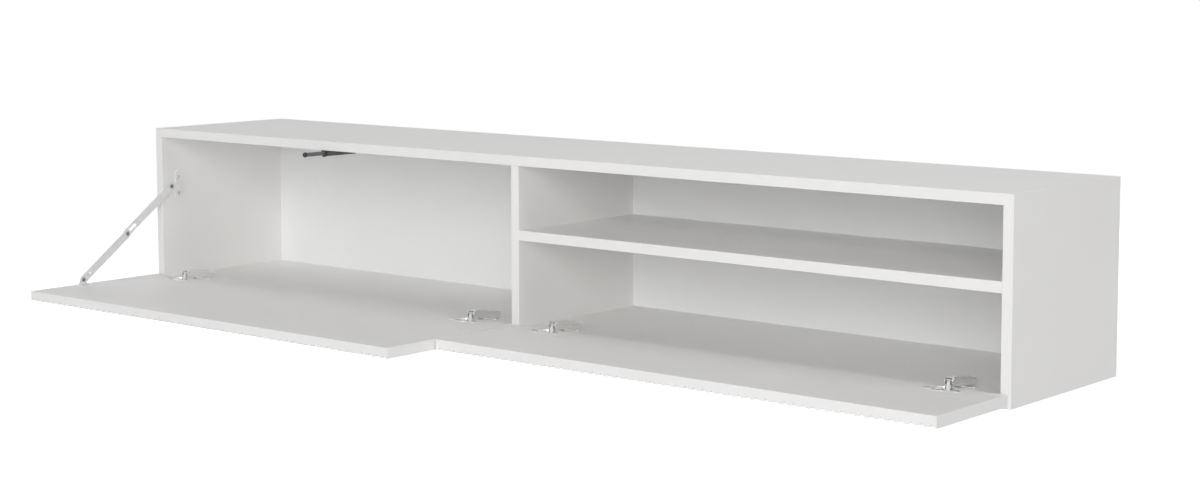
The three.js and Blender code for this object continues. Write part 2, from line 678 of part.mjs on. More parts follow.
// Push latch, drawn from the front plane of the carcass on the plunger's axis
function latchHousing() {
  const back = LATCH_SETBACK + LATCH_LENGTH;
  const half = LATCH_WIDTH / 2;
  const tall = LATCH_HEIGHT / 2;
  const body = block([-half, half], [LATCH_SETBACK, back], [-tall, tall]);
  const collarEnd = LATCH_SETBACK + LATCH_COLLAR_LENGTH;
  const collar = rodAlongY(LATCH_COLLAR_RADIUS, LATCH_SETBACK, collarEnd, 0, 0, ROUND_SEGMENTS / 2);
  const ceiling = block(
    [-LATCH_COLLAR_RADIUS - OVERRUN, LATCH_COLLAR_RADIUS + OVERRUN],
    [LATCH_SETBACK - OVERRUN, collarEnd + OVERRUN],
    [tall, tall + LATCH_COLLAR_RADIUS],
  );
  const deep = LATCH_SETBACK + LATCH_BORE_DEPTH;
  const bore = rodAlongY(PLUNGER_RADIUS + CLEARANCE, -OVERRUN, deep, 0, 0, ROUND_SEGMENTS / 2);
  return cut(join(body, collar), ceiling, bore);
}

function latchGroup() {
  const group = groupAt(LATCH_X, 0, LATCH_AXIS);
  const sides = ROUND_SEGMENTS / 2;
  const back = TIP_FRONT + TIP_LENGTH;
  const seat = back - TIP_SEAT;
  const plunger = rodAlongY(PLUNGER_RADIUS, seat + CLEARANCE, PLUNGER_HIDDEN, 0, 0, sides);
  const cap = rodAlongY(TIP_RADIUS, TIP_FRONT, back, 0, 0, sides);
  const socket = rodAlongY(PLUNGER_RADIUS + CLEARANCE, seat, back + OVERRUN, 0, 0, sides);
  group.add(piece('latch_housing', latchHousing(), 'dark_plastic'));
  group.add(piece('latch_plunger', plunger, 'grey_plastic'));
  group.add(piece('latch_tip', cut(cap, socket), 'rubber'));
  return group;
}

const [leftCorner, rightCorner] = flapCorners();
const hold = WALL_CLEAT_BOTTOM + WALL_CLEAT_HEIGHT / 2;
const mediaConsole = groupAt(-WIDTH / 2, -DEPTH, -hold);
mediaConsole.add(...carcassPieces());
mediaConsole.add(flapGroup('left', leftCorner, LEFT_FLAP_HEIGHT, stayHolesInFlap()));
mediaConsole.add(flapGroup('right', rightCorner, RIGHT_FLAP_HEIGHT));
hingeCentres().forEach((x, index) => {
  const side = index < HINGE_PLACES.length ? 'left' : 'right';
  mediaConsole.add(hingeGroup(`${side}_hinge_${(index % HINGE_PLACES.length) + 1}`, x));
});
mediaConsole.add(stayGroup());
mediaConsole.add(latchGroup());

export default mediaConsole;
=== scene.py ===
"""Looks of the wall-hung media console: white lacquered boards, reeded drop-down flaps on
nickel cup hinges, a folding lid stay and a push latch. Every piece sits where its solid is."""

from math import asin, atan2, cos, degrees, hypot, pi, radians, sin

import bmesh
import bpy
from mathutils import Matrix, Vector


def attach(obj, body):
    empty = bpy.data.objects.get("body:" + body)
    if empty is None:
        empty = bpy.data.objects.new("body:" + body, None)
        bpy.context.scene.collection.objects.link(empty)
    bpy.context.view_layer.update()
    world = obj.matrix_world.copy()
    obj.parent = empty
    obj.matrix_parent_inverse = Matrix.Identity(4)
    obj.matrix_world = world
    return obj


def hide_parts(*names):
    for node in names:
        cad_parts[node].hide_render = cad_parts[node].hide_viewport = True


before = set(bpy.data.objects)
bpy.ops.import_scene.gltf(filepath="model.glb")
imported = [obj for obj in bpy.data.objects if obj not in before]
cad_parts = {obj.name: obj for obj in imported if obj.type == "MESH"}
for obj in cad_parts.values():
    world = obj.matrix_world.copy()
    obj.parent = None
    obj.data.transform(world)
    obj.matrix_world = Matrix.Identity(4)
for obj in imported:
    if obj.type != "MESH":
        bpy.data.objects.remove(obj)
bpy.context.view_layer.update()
bpy.ops.object.select_all(action="DESELECT")

# Places are written in the drawing's millimetres: X from the left outer side, Y from the
# front edges of the carcass, Z from its underside. The frame's origin is this point.
ORIGIN = Vector((1000, 344, 210))
MM = 0.001

LENGTH, DEPTH, HEIGHT, BOARD = 2000, 344, 326, 18
INNER_TOP = HEIGHT - BOARD
BACK_FRONT, BACK_REAR = 324, 328
DIVIDER_X, SHELF_Z = (991, 1009), (175, 193)

# Each flap's left end, and how far it reaches from its rear edge. The flaps are drawn open:
# the inner face lies on top, and the crests of the reeds are lowest.
FLAPS = {"left": (4, 314), "right": (1002, 200)}
FLAP_LENGTH, FLAP_REAR = 994, -5
FLAP_TOP, FLAP_CREST = 24, 5
REEDS, REED_RISE = 58, 5

# The X of each hinge's middle. Its screws stand as far to the left of it as to the right.
HINGES = {"left_hinge_1": 100, "left_hinge_2": 902, "right_hinge_1": 1098, "right_hinge_2": 1900}
HINGE_INSET = 96
CUP_Y, CUP_RADIUS, CUP_FLOOR = -27.5, 17.5, 12.5
CUP_SCREW_X, CUP_SCREW_Y = 24, -33.5
PLATE_SCREW_X, PLATE_SCREW_Y = 16, 37
INNER_PIVOT, OUTER_PIVOT = (-10.708, 35.005), (-7.006, 30.01)

# The stay's two fixed pivots as (Y, Z), and the screws of its side plate and its foot.
STAY_SIDE, STAY_FLAP = (22, 204.5), (-208, 36)
SIDE_SCREW_Y, SIDE_SCREWS_Z = 42, (189, 223)
FOOT_SCREW_X, FOOT_SCREWS_Y = 31.3, (-215.5, -200.5)

LATCH_X, LATCH_Z = 502, 302

# How far a lacquered board's edge is rounded.
BOARD_EDGE = 0.7

# Strength of the room's own soft light, and how far the floor is lifted towards white.
ROOM_LIGHT, FLOOR_LIFT = 0.2, 0.76
# In metres: the floor's height, and the soft boxes' size and distance from the console.
FLOOR_HEIGHT, BOX_SIZE, BOX_AWAY = -1.1, 4.8, 9


def spot(x, y, z):
    """A place of the drawing, in the frame's metres."""
    return (Vector((x, y, z)) - ORIGIN) * MM


# ---- Working in edit mode

def edit(piece):
    bpy.context.view_layer.objects.active = piece
    bpy.ops.object.select_all(action="DESELECT")
    piece.select_set(True)
    bpy.ops.object.mode_set(mode="EDIT")
    bpy.ops.mesh.select_all(action="DESELECT")


def leave():
    if bpy.context.mode != "OBJECT":
        bpy.ops.object.mode_set(mode="OBJECT")


def choose(kind, test):
    """In edit mode, selects the corners, edges or faces that the test accepts."""
    kinds = ("corners", "edges", "faces")
    bpy.context.tool_settings.mesh_select_mode = tuple(kind == each for each in kinds)
    bpy.ops.mesh.select_all(action="DESELECT")
    drawing = bmesh.from_edit_mesh(bpy.context.edit_object.data)
    drawing.normal_update()
    for item in {"corners": drawing.verts, "edges": drawing.edges, "faces": drawing.faces}[kind]:
        if test(item):
            item.select_set(True)
    drawing.select_flush_mode()
    bmesh.update_edit_mesh(bpy.context.edit_object.data)


def all_picked():
    bpy.context.tool_settings.mesh_select_mode = (True, False, False)
    bpy.ops.mesh.select_all(action="SELECT")


def outward():
    all_picked()
    bpy.ops.mesh.remove_doubles(threshold=0.000002)
    bpy.ops.mesh.normals_make_consistent(inside=False)


def middle(edge):
    """The middle of an edge, in the drawing's millimetres."""
    return (edge.verts[0].co + edge.verts[1].co) / 2 / MM + ORIGIN


def runs_along(edge, axis):
    way = (edge.verts[1].co - edge.verts[0].co).normalized()
    return abs(way[axis]) > 0.999


def ease(piece, width, test, steps=3):
    """Rounds the chosen edges of a piece by a width in millimetres."""
    edit(piece)
    choose("edges", test)
    bpy.ops.mesh.bevel(offset=width * MM, segments=steps, profile=0.5, affect="EDGES")
    leave()


def trim(piece, place, away):
    """Saws a piece along a plane and closes it; what lies on the side of away is taken off."""
    edit(piece)
    all_picked()
    bpy.ops.mesh.bisect(plane_co=place, plane_no=away, use_fill=True, clear_outer=True)
    outward()
    leave()


# ---- Making the raw shapes

def board(name, x, y, z):
    """A sawn board between two places along each direction."""
    low, high = spot(x[0], y[0], z[0]), spot(x[1], y[1], z[1])
    bpy.ops.mesh.primitive_cube_add(size=1, location=(low + high) / 2, scale=high - low)
    piece = bpy.context.object
    piece.name = name
    bpy.ops.object.transform_apply(location=True, rotation=True, scale=True)
    return piece


def line(name, spots):
    """A line drawn from place to place, starting from one corner of a small plane."""
    bpy.ops.mesh.primitive_plane_add(size=0.002, location=spots[0])
    piece = bpy.context.object
    piece.name = name
    bpy.ops.object.transform_apply(location=True, rotation=True, scale=True)
    edit(piece)
    all_picked()
    bpy.ops.mesh.merge(type="CENTER")
    for here, there in zip(spots, spots[1:]):
        bpy.ops.mesh.extrude_region_move(TRANSFORM_OT_translate={"value": there - here})
    return piece


def swept(name, spots, way):
    """A closed outline, filled and swept along a direction in millimetres."""
    piece = line(name, spots)
    all_picked()
    bpy.ops.mesh.edge_face_add()
    choose("faces", lambda face: True)
    bpy.ops.mesh.extrude_region_move(TRANSFORM_OT_translate={"value": Vector(way) * MM})
    outward()
    leave()
    return piece


def from_side(outline, x):
    return [spot(x, y, z) for y, z in outline]


def from_top(outline, z):
    return [spot(x, y, z) for x, y in outline]


def from_front(outline, y):
    return [spot(x, y, z) for x, z in outline]


def sheet_from_side(name, outline, x):
    return swept(name, from_side(outline, x[0]), (x[1] - x[0], 0, 0))


def sheet_from_top(name, outline, z):
    return swept(name, from_top(outline, z[0]), (0, 0, z[1] - z[0]))


def turned(name, place, axis, profile, steps=32):
    """Turns a profile of (radius, distance along the axis), in millimetres, all the way round."""
    axis = Vector(axis)
    across = axis.orthogonal().normalized()
    spots = [place + (across * radius + axis * along) * MM for radius, along in profile]
    piece = line(name, spots)
    all_picked()
    bpy.ops.mesh.spin(steps=steps, angle=2 * pi, center=place, axis=axis)
    outward()
    leave()
    return piece


# ---- Outlines, in millimetres

def arc(centre, radius, start, end, steps=8):
    turn = (end - start) / steps
    angles = [radians(start + turn * step) for step in range(steps + 1)]
    return [(centre[0] + radius * cos(a), centre[1] + radius * sin(a)) for a in angles]


def circle(centre, radius, steps=24):
    return arc(centre, radius, 0, 360, steps)[:-1]


def both_sides(x, reach):
    return x - reach, x + reach


def strap(places, radius, steps=8):
    """Outline of a flat strap that follows the places, with round ends."""
    ways = [atan2(b[1] - a[1], b[0] - a[0]) for a, b in zip(places, places[1:])]
    near, far = [], []
    for place, before, after in zip(places[1:-1], ways, ways[1:]):
        lean = (before + after) / 2
        reach = radius / cos((after - before) / 2)
        near.append((place[0] + reach * sin(lean), place[1] - reach * cos(lean)))
        far.append((place[0] - reach * sin(lean), place[1] + reach * cos(lean)))
    first, last = degrees(ways[0]), degrees(ways[-1])
    end = arc(places[-1], radius, last - 90, last + 90, steps)
    start = arc(places[0], radius, first + 90, first + 270, steps)
    return near + end + far[::-1] + start


def dumbbell(start, end, eye, half):
    """Outline of a link: two round eyes joined by a narrower bar."""
    way = degrees(atan2(end[1] - start[1], end[0] - start[0]))
    gap = degrees(asin(half / eye))
    far = arc(end, eye, way - 180 + gap, way + 180 - gap, 16)
    near = arc(start, eye, way + gap, way + 360 - gap, 16)
    return far + near


def rounded(corners, radii, steps=4):
    """The same outline with each corner rounded by its own radius."""
    outline = []
    for index, (corner, radius) in enumerate(zip(corners, radii)):
        before, after = corners[index - 1], corners[(index + 1) % len(corners)]
        here = Vector(corner)
        back, on = (Vector(before) - here), (Vector(after) - here)
        if not radius:
            outline.append(corner)
            continue
        half = back.angle(on) / 2
        room_left = 0.48 * min(back.length, on.length)
        setback = min(radius / abs(sin(half) / cos(half)), room_left)
        first, last = here + back.normalized() * setback, here + on.normalized() * setback
        for step in range(steps + 1):
            share = step / steps
            point = first * (1 - share) ** 2 + here * 2 * share * (1 - share) + last * share ** 2
            outline.append(tuple(point))
    return outline


def from_point(start, length, angle):
    return (start[0] + length * cos(radians(angle)), start[1] + length * sin(radians(angle)))


# ---- Joining, cutting and copying

def settle(piece, modifier):
    leave()
    bpy.context.view_layer.objects.active = piece
    bpy.ops.object.modifier_apply(modifier=modifier.name)


def combine(piece, others, how):
    """Adds the others to a piece or takes them off it, and removes them."""
    for other in others:
        work = piece.modifiers.new(how.lower(), "BOOLEAN")
        work.operation, work.solver, work.object = how, "EXACT", other
        settle(piece, work)
        bpy.data.objects.remove(other)
    return piece


def cut(piece, *tools):
    return combine(piece, tools, "DIFFERENCE")


def welded(piece, *others):
    return combine(piece, others, "UNION")


def soften(piece, width, above=40, steps=2):
    """Breaks every edge of a piece that turns by more than an angle."""
    work = piece.modifiers.new("soften", "BEVEL")
    work.width, work.segments, work.limit_method = width * MM, steps, "ANGLE"
    work.angle_limit = radians(above)
    work.use_clamp_overlap = True
    settle(piece, work)
    return piece


def together(name, *pieces):
    """Separate shells that make one piece."""
    bpy.ops.object.select_all(action="DESELECT")
    for each in pieces:
        each.select_set(True)
    bpy.context.view_layer.objects.active = pieces[0]
    bpy.ops.object.join()
    pieces[0].name = name
    return pieces[0]


def copied(piece, name, shift=(0, 0, 0), turn=None):
    """A copy with its own mesh, turned about the drawing's zero point if asked, then shifted."""
    made = piece.copy()
    made.data = piece.data.copy()
    made.name = name
    bpy.context.scene.collection.objects.link(made)
    if turn:
        made.data.transform(turn)
    made.data.transform(Matrix.Translation(Vector(shift) * MM))
    return made


def turned_at_zero(angle, axis):
    """A turn in degrees about an axis through the drawing's zero point."""
    centre = Matrix.Translation(spot(0, 0, 0))
    return centre @ Matrix.Rotation(radians(angle), 4, axis) @ centre.inverted()


def fitted(piece, body, finish, slot, replaces=()):
    """Shades a finished piece, gives it its finish and hangs it on its body."""
    leave()
    bpy.ops.object.select_all(action="DESELECT")
    bpy.context.view_layer.objects.active = piece
    piece.select_set(True)
    bpy.ops.object.shade_smooth_by_angle(angle=radians(35))
    even = piece.modifiers.new("even", "WEIGHTED_NORMAL")
    even.keep_sharp = True
    settle(piece, even)
    piece.data.materials.clear()
    piece.data.materials.append(finish)
    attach(piece, body)
    if replaces:
        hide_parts(*replaces)
    piece.select_set(False)
    return piece


# ---- Finishes

class Finish:
    """A material of one shader, with patterns read from the object's own place."""

    def __init__(self, name):
        self.material = bpy.data.materials.new(name)
        self.material.use_nodes = True
        self.nodes = self.material.node_tree.nodes
        self.links = self.material.node_tree.links
        self.shader = self.nodes["Principled BSDF"]
        self.place = self.nodes.new("ShaderNodeTexCoord").outputs["Object"]

    def stretched(self, scale):
        mapping = self.nodes.new("ShaderNodeMapping")
        mapping.inputs["Scale"].default_value = scale
        self.links.new(self.place, mapping.inputs["Vector"])
        return mapping.outputs["Vector"]

    def noise(self, scale, detail=3, stretch=None, roughness=0.5):
        pattern = self.nodes.new("ShaderNodeTexNoise")
        pattern.inputs["Scale"].default_value = scale
        pattern.inputs["Detail"].default_value = detail
        pattern.inputs["Roughness"].default_value = roughness
        vector = self.stretched(stretch) if stretch else self.place
        self.links.new(vector, pattern.inputs["Vector"])
        return pattern.outputs["Fac"]

    def tones(self, value, stops):
        ramp = self.nodes.new("ShaderNodeValToRGB")
        while len(ramp.color_ramp.elements) < len(stops):
            ramp.color_ramp.elements.new(0.5)
        for element, (position, colour) in zip(ramp.color_ramp.elements, stops):
            element.position = position
            element.color = (*colour, 1)
        self.links.new(value, ramp.inputs["Fac"])
        return ramp.outputs["Color"]

    def spread(self, value, low, high, start=0.3, end=0.7):
        """A value that runs from start to end, spread from low to high."""
        range_node = self.nodes.new("ShaderNodeMapRange")
        range_node.inputs["From Min"].default_value = start
        range_node.inputs["From Max"].default_value = end
        range_node.inputs["To Min"].default_value = low
        range_node.inputs["To Max"].default_value = high
        self.links.new(value, range_node.inputs["Value"])
        return range_node.outputs["Result"]

    def colour(self, output):
        self.links.new(output, self.shader.inputs["Base Color"])

    def gloss(self, output):
        self.links.new(output, self.shader.inputs["Roughness"])

    def relief(self, *layers):
        """Layers of (height, depth in millimetres), each laid over the one before."""
        under = None
        for height, depth in layers:
            bump = self.nodes.new("ShaderNodeBump")
            bump.inputs["Strength"].default_value = 1
            bump.inputs["Distance"].default_value = depth * MM
            self.links.new(height, bump.inputs["Height"])
            if under:
                self.links.new(under, bump.inputs["Normal"])
            under = bump.outputs["Normal"]
        self.links.new(under, self.shader.inputs["Normal"])


def satin_lacquer():
    made = Finish("satin_white_lacquer")
    cloud = made.noise(5, 4)
    made.colour(made.tones(cloud, [(0.3, (0.905, 0.898, 0.886)), (0.7, (0.925, 0.919, 0.908))]))
    made.gloss(made.spread(made.noise(60, 3), 0.42, 0.5))
    made.shader.inputs["Specular IOR Level"].default_value = 0.35
    made.relief((made.noise(420, 2), 0.012), (made.noise(1600, 2), 0.003))
    return made.material


def white_backing():
    """The thin back sheet: a neutral white film with the faint pores of the board under it."""
    made = Finish("white_backing_film")
    cloud = made.noise(7, 4)
    made.colour(made.tones(cloud, [(0.3, (0.915, 0.916, 0.915)), (0.7, (0.930, 0.931, 0.930))]))
    made.gloss(made.spread(made.noise(80, 3), 0.48, 0.58))
    made.shader.inputs["Specular IOR Level"].default_value = 0.3
    made.relief((made.noise(900, 3), 0.01))
    return made.material


def plated(name, dark, bright, rough, grain, sheen=1):
    """Plated sheet metal with fine lines along its grain. Sheen is how metallic it looks."""
    made = Finish(name)
    made.shader.inputs["Metallic"].default_value = sheen
    made.colour(made.tones(made.noise(90, 4), [(0.3, dark), (0.7, bright)]))
    lines = made.noise(900, 3, stretch=grain)
    made.gloss(made.spread(lines, rough - 0.05, rough + 0.07))
    made.relief((made.noise(240, 3), 0.006), (lines, 0.002))
    return made.material


def moulded(name, dark, pale, rough):
    made = Finish(name)
    made.colour(made.tones(made.noise(130, 4), [(0.3, dark), (0.7, pale)]))
    made.gloss(made.spread(made.noise(500, 3), rough - 0.06, rough + 0.06))
    made.relief((made.noise(2600, 2), 0.012))
    return made.material


def raw_plywood():
    """Birch plywood: thin crossed plies on the edges and a grain that runs along the length."""
    made = Finish("raw_plywood")
    wave = made.nodes.new("ShaderNodeTexWave")
    wave.wave_type, wave.bands_direction, wave.wave_profile = "BANDS", "Y", "SIN"
    wave.inputs["Scale"].default_value = 105
    wave.inputs["Distortion"].default_value = 0.5
    wave.inputs["Detail"].default_value = 2
    made.links.new(made.place, wave.inputs["Vector"])
    grain = made.noise(60, 6, stretch=(0.06, 1, 1), roughness=0.6)
    layers = [(0.35, (0.52, 0.36, 0.20)), (0.6, (0.70, 0.54, 0.35))]
    plies = made.tones(wave.outputs["Fac"], layers)
    figure = made.tones(grain, [(0.3, (0.80, 0.76, 0.70)), (0.7, (1, 1, 1))])
    blend = made.nodes.new("ShaderNodeMix")
    blend.data_type, blend.blend_type = "RGBA", "MULTIPLY"
    blend.inputs[0].default_value = 1
    made.links.new(plies, blend.inputs[6])
    made.links.new(figure, blend.inputs[7])
    made.colour(blend.outputs[2])
    made.gloss(made.spread(grain, 0.62, 0.8))
    made.relief((grain, 0.05))
    return made.material


LACQUER = satin_lacquer()
BACKING = white_backing()
NICKEL = plated("bright_nickel", (0.87, 0.866, 0.858), (0.93, 0.926, 0.918), 0.2, (0.2, 1, 1), 0.8)
ZINC = plated("zinc_plate", (0.88, 0.882, 0.885), (0.94, 0.942, 0.945), 0.36, (1, 0.3, 0.3), 0.5)
STEEL = plated("screw_steel", (0.62, 0.62, 0.63), (0.72, 0.72, 0.72), 0.26, (1, 1, 0.3))
# Painted reflection: the stay's pins get a darkened steel colour that stands for the dark
# reflection on their small domed heads.
PAINTED_REFLECTION_STEEL = plated(
    "pin_steel_painted_dark_reflection", (0.27, 0.27, 0.275), (0.35, 0.35, 0.355), 0.3, (1, 1, 0.3)
)
PLYWOOD = raw_plywood()
DARK_PLASTIC = moulded("dark_plastic", (0.105, 0.106, 0.108), (0.130, 0.131, 0.133), 0.5)
COLLAR_PLASTIC = moulded("collar_plastic", (0.030, 0.030, 0.032), (0.040, 0.040, 0.042), 0.5)
GREY_PLASTIC = moulded("grey_plastic", (0.125, 0.127, 0.130), (0.150, 0.152, 0.155), 0.42)
SOFT_TIP = moulded("soft_tip_rubber", (0.040, 0.040, 0.041), (0.052, 0.052, 0.053), 0.75)


# ---- Carcass

def mitred_board(name, thick, lying):
    """An outer board of the carcass, eased, sawn at 45 degrees and broken at the sharp tips."""
    if lying:
        piece = board(name, (0, LENGTH), (0, DEPTH), thick)
    else:
        piece = board(name, thick, (0, DEPTH), (0, HEIGHT))
    ease(piece, BOARD_EDGE, lambda edge: runs_along(edge, 0 if lying else 2))
    for corner in ((0, 0), (LENGTH, 0), (0, HEIGHT), (LENGTH, HEIGHT)):
        if (corner[1] in thick) if lying else (corner[0] in thick):
            out_x = -1 if corner[0] == 0 else 1
            out_z = -1 if corner[1] == 0 else 1
            saw = (out_x, 0, -out_z) if lying else (-out_x, 0, out_z)
            trim(piece, spot(corner[0], 0, corner[1]), Vector(saw).normalized())
            tip = Vector((out_x, 0, out_z)).normalized()
            trim(piece, spot(corner[0], 0, corner[1]) - tip * 0.35 * MM, tip)
    return piece


def pilot_up(x, y, top, radius, deep):
    return sheet_from_top("pilot", circle((x, y), radius, 16), (top - deep, top + 4))


def plate_pilots(x):
    return [pilot_up(at, PLATE_SCREW_Y, 20, 2.5, 13.3) for at in both_sides(x, PLATE_SCREW_X)]


def cup_pilots(x):
    return [pilot_up(at, CUP_SCREW_Y, 25, 2, 11.3) for at in both_sides(x, CUP_SCREW_X)]


def foot_pilots():
    return [pilot_up(FOOT_SCREW_X, y, 25.5, 1.8, 11.3) for y in FOOT_SCREWS_Y]


def carcass():
    bottom = mitred_board("bottom_board", (0, BOARD), True)
    holes = [hole for x in HINGES.values() for hole in plate_pilots(x)]
    cut(bottom, together("pilots", *holes))
    left = mitred_board("left_side_board", (0, BOARD), False)
    holes = [
        sheet_from_side("pilot", circle((SIDE_SCREW_Y, z), 2, 16), (5.2, 24))
        for z in SIDE_SCREWS_Z
    ]
    cut(left, together("pilots", *holes))
    top = mitred_board("top_board", (INNER_TOP, HEIGHT), True)
    right = mitred_board("right_side_board", (LENGTH - BOARD, LENGTH), False)
    divider = board("divider_board", DIVIDER_X, (0, BACK_FRONT), (BOARD, INNER_TOP))
    ease(divider, BOARD_EDGE, lambda edge: runs_along(edge, 2) and middle(edge).y < 1)
    shelf = board("shelf_board", (DIVIDER_X[1], LENGTH - BOARD), (0, BACK_FRONT), SHELF_Z)
    ease(shelf, BOARD_EDGE, lambda edge: runs_along(edge, 0) and middle(edge).y < 1)
    inside = (BOARD, LENGTH - BOARD)
    back = board("back_sheet", inside, (BACK_FRONT, BACK_REAR), (BOARD, INNER_TOP))
    ease(back, 0.25, lambda edge: True, 2)
    for piece, node in (
        (bottom, "bottom_panel"), (left, "left_side_panel"), (top, "top_panel"),
        (right, "right_side_panel"), (divider, "centre_divider"), (shelf, "fixed_shelf"),
    ):
        fitted(piece, "carcass", LACQUER, "lacquer", [node])
    fitted(back, "carcass", BACKING, "lacquer", ["back_panel"])


def cleats():
    """The carcass's cleat hooks over the wall's on a slope of 45 degrees, 0.3 mm apart."""
    low = 240 + 0.3 * 2 ** 0.5
    hook = [(DEPTH, low), (DEPTH, INNER_TOP), (BACK_REAR, INNER_TOP), (BACK_REAR, low + 16)]
    upper = sheet_from_side("hanging_cleat", hook, (BOARD, LENGTH - BOARD))
    soften(upper, 0.5)
    fitted(upper, "carcass", PLYWOOD, "raw_board", ["carcass_cleat"])
    rest = [(DEPTH, 180), (DEPTH, 240), (328.3, 255.7), (328.3, 180)]
    lower = sheet_from_side("wall_batten", rest, (150, LENGTH - 150))
    holes = []
    for index in range(4):
        place = spot(350 + index * 1300 / 3, 328.3, 210)
        sink = [(0, -4), (5.2, -4), (5.2, 0), (3, 2.6), (3, 20), (0, 20)]
        holes.append(turned("sink", place, (0, 1, 0), sink, 24))
    cut(lower, together("sinks", *holes))
    soften(lower, 0.5)
    fitted(lower, "carcass", PLYWOOD, "raw_board", ["wall_cleat"])


# ---- Flaps

def reeded_flap(name, left, height):
    """One reed is drawn and swept, then repeated side by side and sawn to the flap's length."""
    pitch = FLAP_LENGTH / REEDS
    half = pitch / 2
    radius = (half ** 2 + REED_RISE ** 2) / (2 * REED_RISE)
    spread = asin(half / radius)
    section = [(left - half, FLAP_TOP)]
    for step in range(13):
        angle = spread * (step / 6 - 1)
        section.append((left + radius * sin(angle), FLAP_CREST + radius * (1 - cos(angle))))
    section.append((left + half, FLAP_TOP))
    piece = swept(name, from_front(section, FLAP_REAR), (0, -height, 0))
    edit(piece)
    choose("faces", lambda face: abs(face.normal.x) > 0.999)
    bpy.ops.mesh.delete(type="ONLY_FACE")
    leave()
    row = piece.modifiers.new("row", "ARRAY")
    row.count, row.use_relative_offset, row.use_constant_offset = REEDS + 1, False, True
    row.constant_offset_displace = (pitch * MM, 0, 0)
    row.use_merge_vertices, row.merge_threshold = True, 0.00001
    settle(piece, row)
    trim(piece, spot(left, 0, 0), Vector((-1, 0, 0)))
    trim(piece, spot(left + FLAP_LENGTH, 0, 0), Vector((1, 0, 0)))
    edit(piece)
    all_picked()
    bpy.ops.mesh.dissolve_limited(angle_limit=radians(0.5))
    leave()

    def on_top(edge):
        return all(abs(corner.co.z - spot(0, 0, FLAP_TOP).z) < 0.00001 for corner in edge.verts)

    def on_reed_end(edge):
        places = [corner.co / MM + ORIGIN for corner in edge.verts]
        ends = (FLAP_REAR, FLAP_REAR - height)
        at_end = any(all(abs(place.y - end) < 0.01 for place in places) for end in ends)
        return at_end and all(place.z < FLAP_TOP - 2 for place in places)

    ease(piece, 1.7, lambda edge: on_top(edge) and middle(edge).y > FLAP_REAR - 0.5)
    ease(piece, 0.8, lambda edge: on_top(edge) and middle(edge).y < FLAP_REAR - 3)
    ease(piece, 1.1, on_reed_end, 3)
    return piece


def flaps():
    for side, (left, height) in FLAPS.items():
        piece = reeded_flap(f"{side}_reeded_flap", left, height)
        holes = []
        for x in (left + HINGE_INSET, left + FLAP_LENGTH - HINGE_INSET):
            bore = circle((x, CUP_Y), CUP_RADIUS + 0.3, 64)
            holes.append(sheet_from_top("bore", bore, (CUP_FLOOR - 0.3, 30)))
            holes += cup_pilots(x)
        if side == "left":
            holes += foot_pilots()
        cut(piece, together("bores", *holes))
        fitted(piece, f"{side}_flap", LACQUER, "lacquer", [f"{side}_flap"])


# ---- Screws

def cross_head_screw(name, head, cap, shank, length):
    """Stands head up at the drawing's zero point, the underside of its head at Z 0."""
    zero = spot(0, 0, 0)
    point = min(2 * shank, length)
    profile = [
        (0, -length), (shank * 0.35, -length + point * 0.35), (shank, point - length),
        (shank, 0), (head * 0.94, 0), (head, cap * 0.16), (head * 0.97, cap * 0.42),
        (head * 0.82, cap * 0.75), (head * 0.55, cap * 0.94), (0, cap),
    ]
    piece = turned(name, zero, (0, 0, 1), profile, 24)
    wide, narrow = head * 0.62, head * 0.13
    arms = []
    for across in (False, True):
        size = (wide, narrow) if across else (narrow, wide)
        arm = board("arm", (-size[0], size[0]), (-size[1], size[1]), (cap * 0.1, cap * 1.6))
        edit(arm)
        choose("faces", lambda face: face.normal.z < -0.9)
        bpy.ops.transform.resize(value=(0.45, 0.45, 1), center_override=zero)
        leave()
        arms.append(arm)
    return cut(piece, *arms)


def screw(pattern, node, body, place, turn=None):
    """Drives a copy of a screw home, in the place of its solid."""
    made = copied(pattern, f"{node}_dressed", place, turn)
    fitted(made, body, STEEL, "steel", [node])


# ---- Cup hinges, modelled at the first hinge and copied to the others

def hinge_cup(x):
    """The cup with its winged flange, and in it the cradle that the links end at."""
    wings = strap([(x - 26, CUP_SCREW_Y), (x + 26, CUP_SCREW_Y)], 6.5, 12)
    disc = sheet_from_top("disc", circle((x, CUP_Y), 18, 48), (FLAP_TOP, FLAP_TOP + 1))
    cup = welded(sheet_from_top("hinge_cup", wings, (FLAP_TOP, FLAP_TOP + 1)), disc)
    outer = [(0, 0), (15.5, 0), (16.9, 0.6), (17.5, 2), (17.5, 12), (0, 12)]
    welded(cup, turned("bowl", spot(x, CUP_Y, CUP_FLOOR), (0, 0, 1), outer, 48))
    inner = [
        (0, 1), (13.6, 1), (15.4, 1.5), (16.3, 2.8), (16.5, 4.5), (16.5, 11.4), (17.3, 12.6),
        (17.3, 16), (0, 16),
    ]
    cut(cup, turned("hollow", spot(x, CUP_Y, CUP_FLOOR), (0, 0, 1), inner, 48))
    cut(cup, *cup_pilots(x))
    soften(cup, 0.28, above=50)
    corners = [(-25.5, 13.4), (-13.4, 13.4), (-13.4, 20.5), (-18, 22.5), (-25.5, 17)]
    cheek = rounded(corners, [0, 0, 2, 2.5, 2])
    parts = [
        sheet_from_side("cheek", cheek, (x + low, x + high)) for low, high in ((-9, -8), (8, 9))
    ]
    web = [(x - 9, -25.5), (x + 9, -25.5), (x + 9, -23), (x - 9, -23)]
    parts.append(sheet_from_top("web", web, (13.4, 14.2)))
    for part in parts:
        soften(part, 0.15, above=50, steps=1)
    for way in (-1, 1):
        stub = [(0, -1.4), (1.3, -1.4), (1.3, 1.2), (1.1, 1.4), (0, 1.4)]
        parts.append(turned("stub", spot(x + way * 8.6, -16, 18.5), (way, 0, 0), stub, 16))
    return together("hinge_cup", cup, *parts)


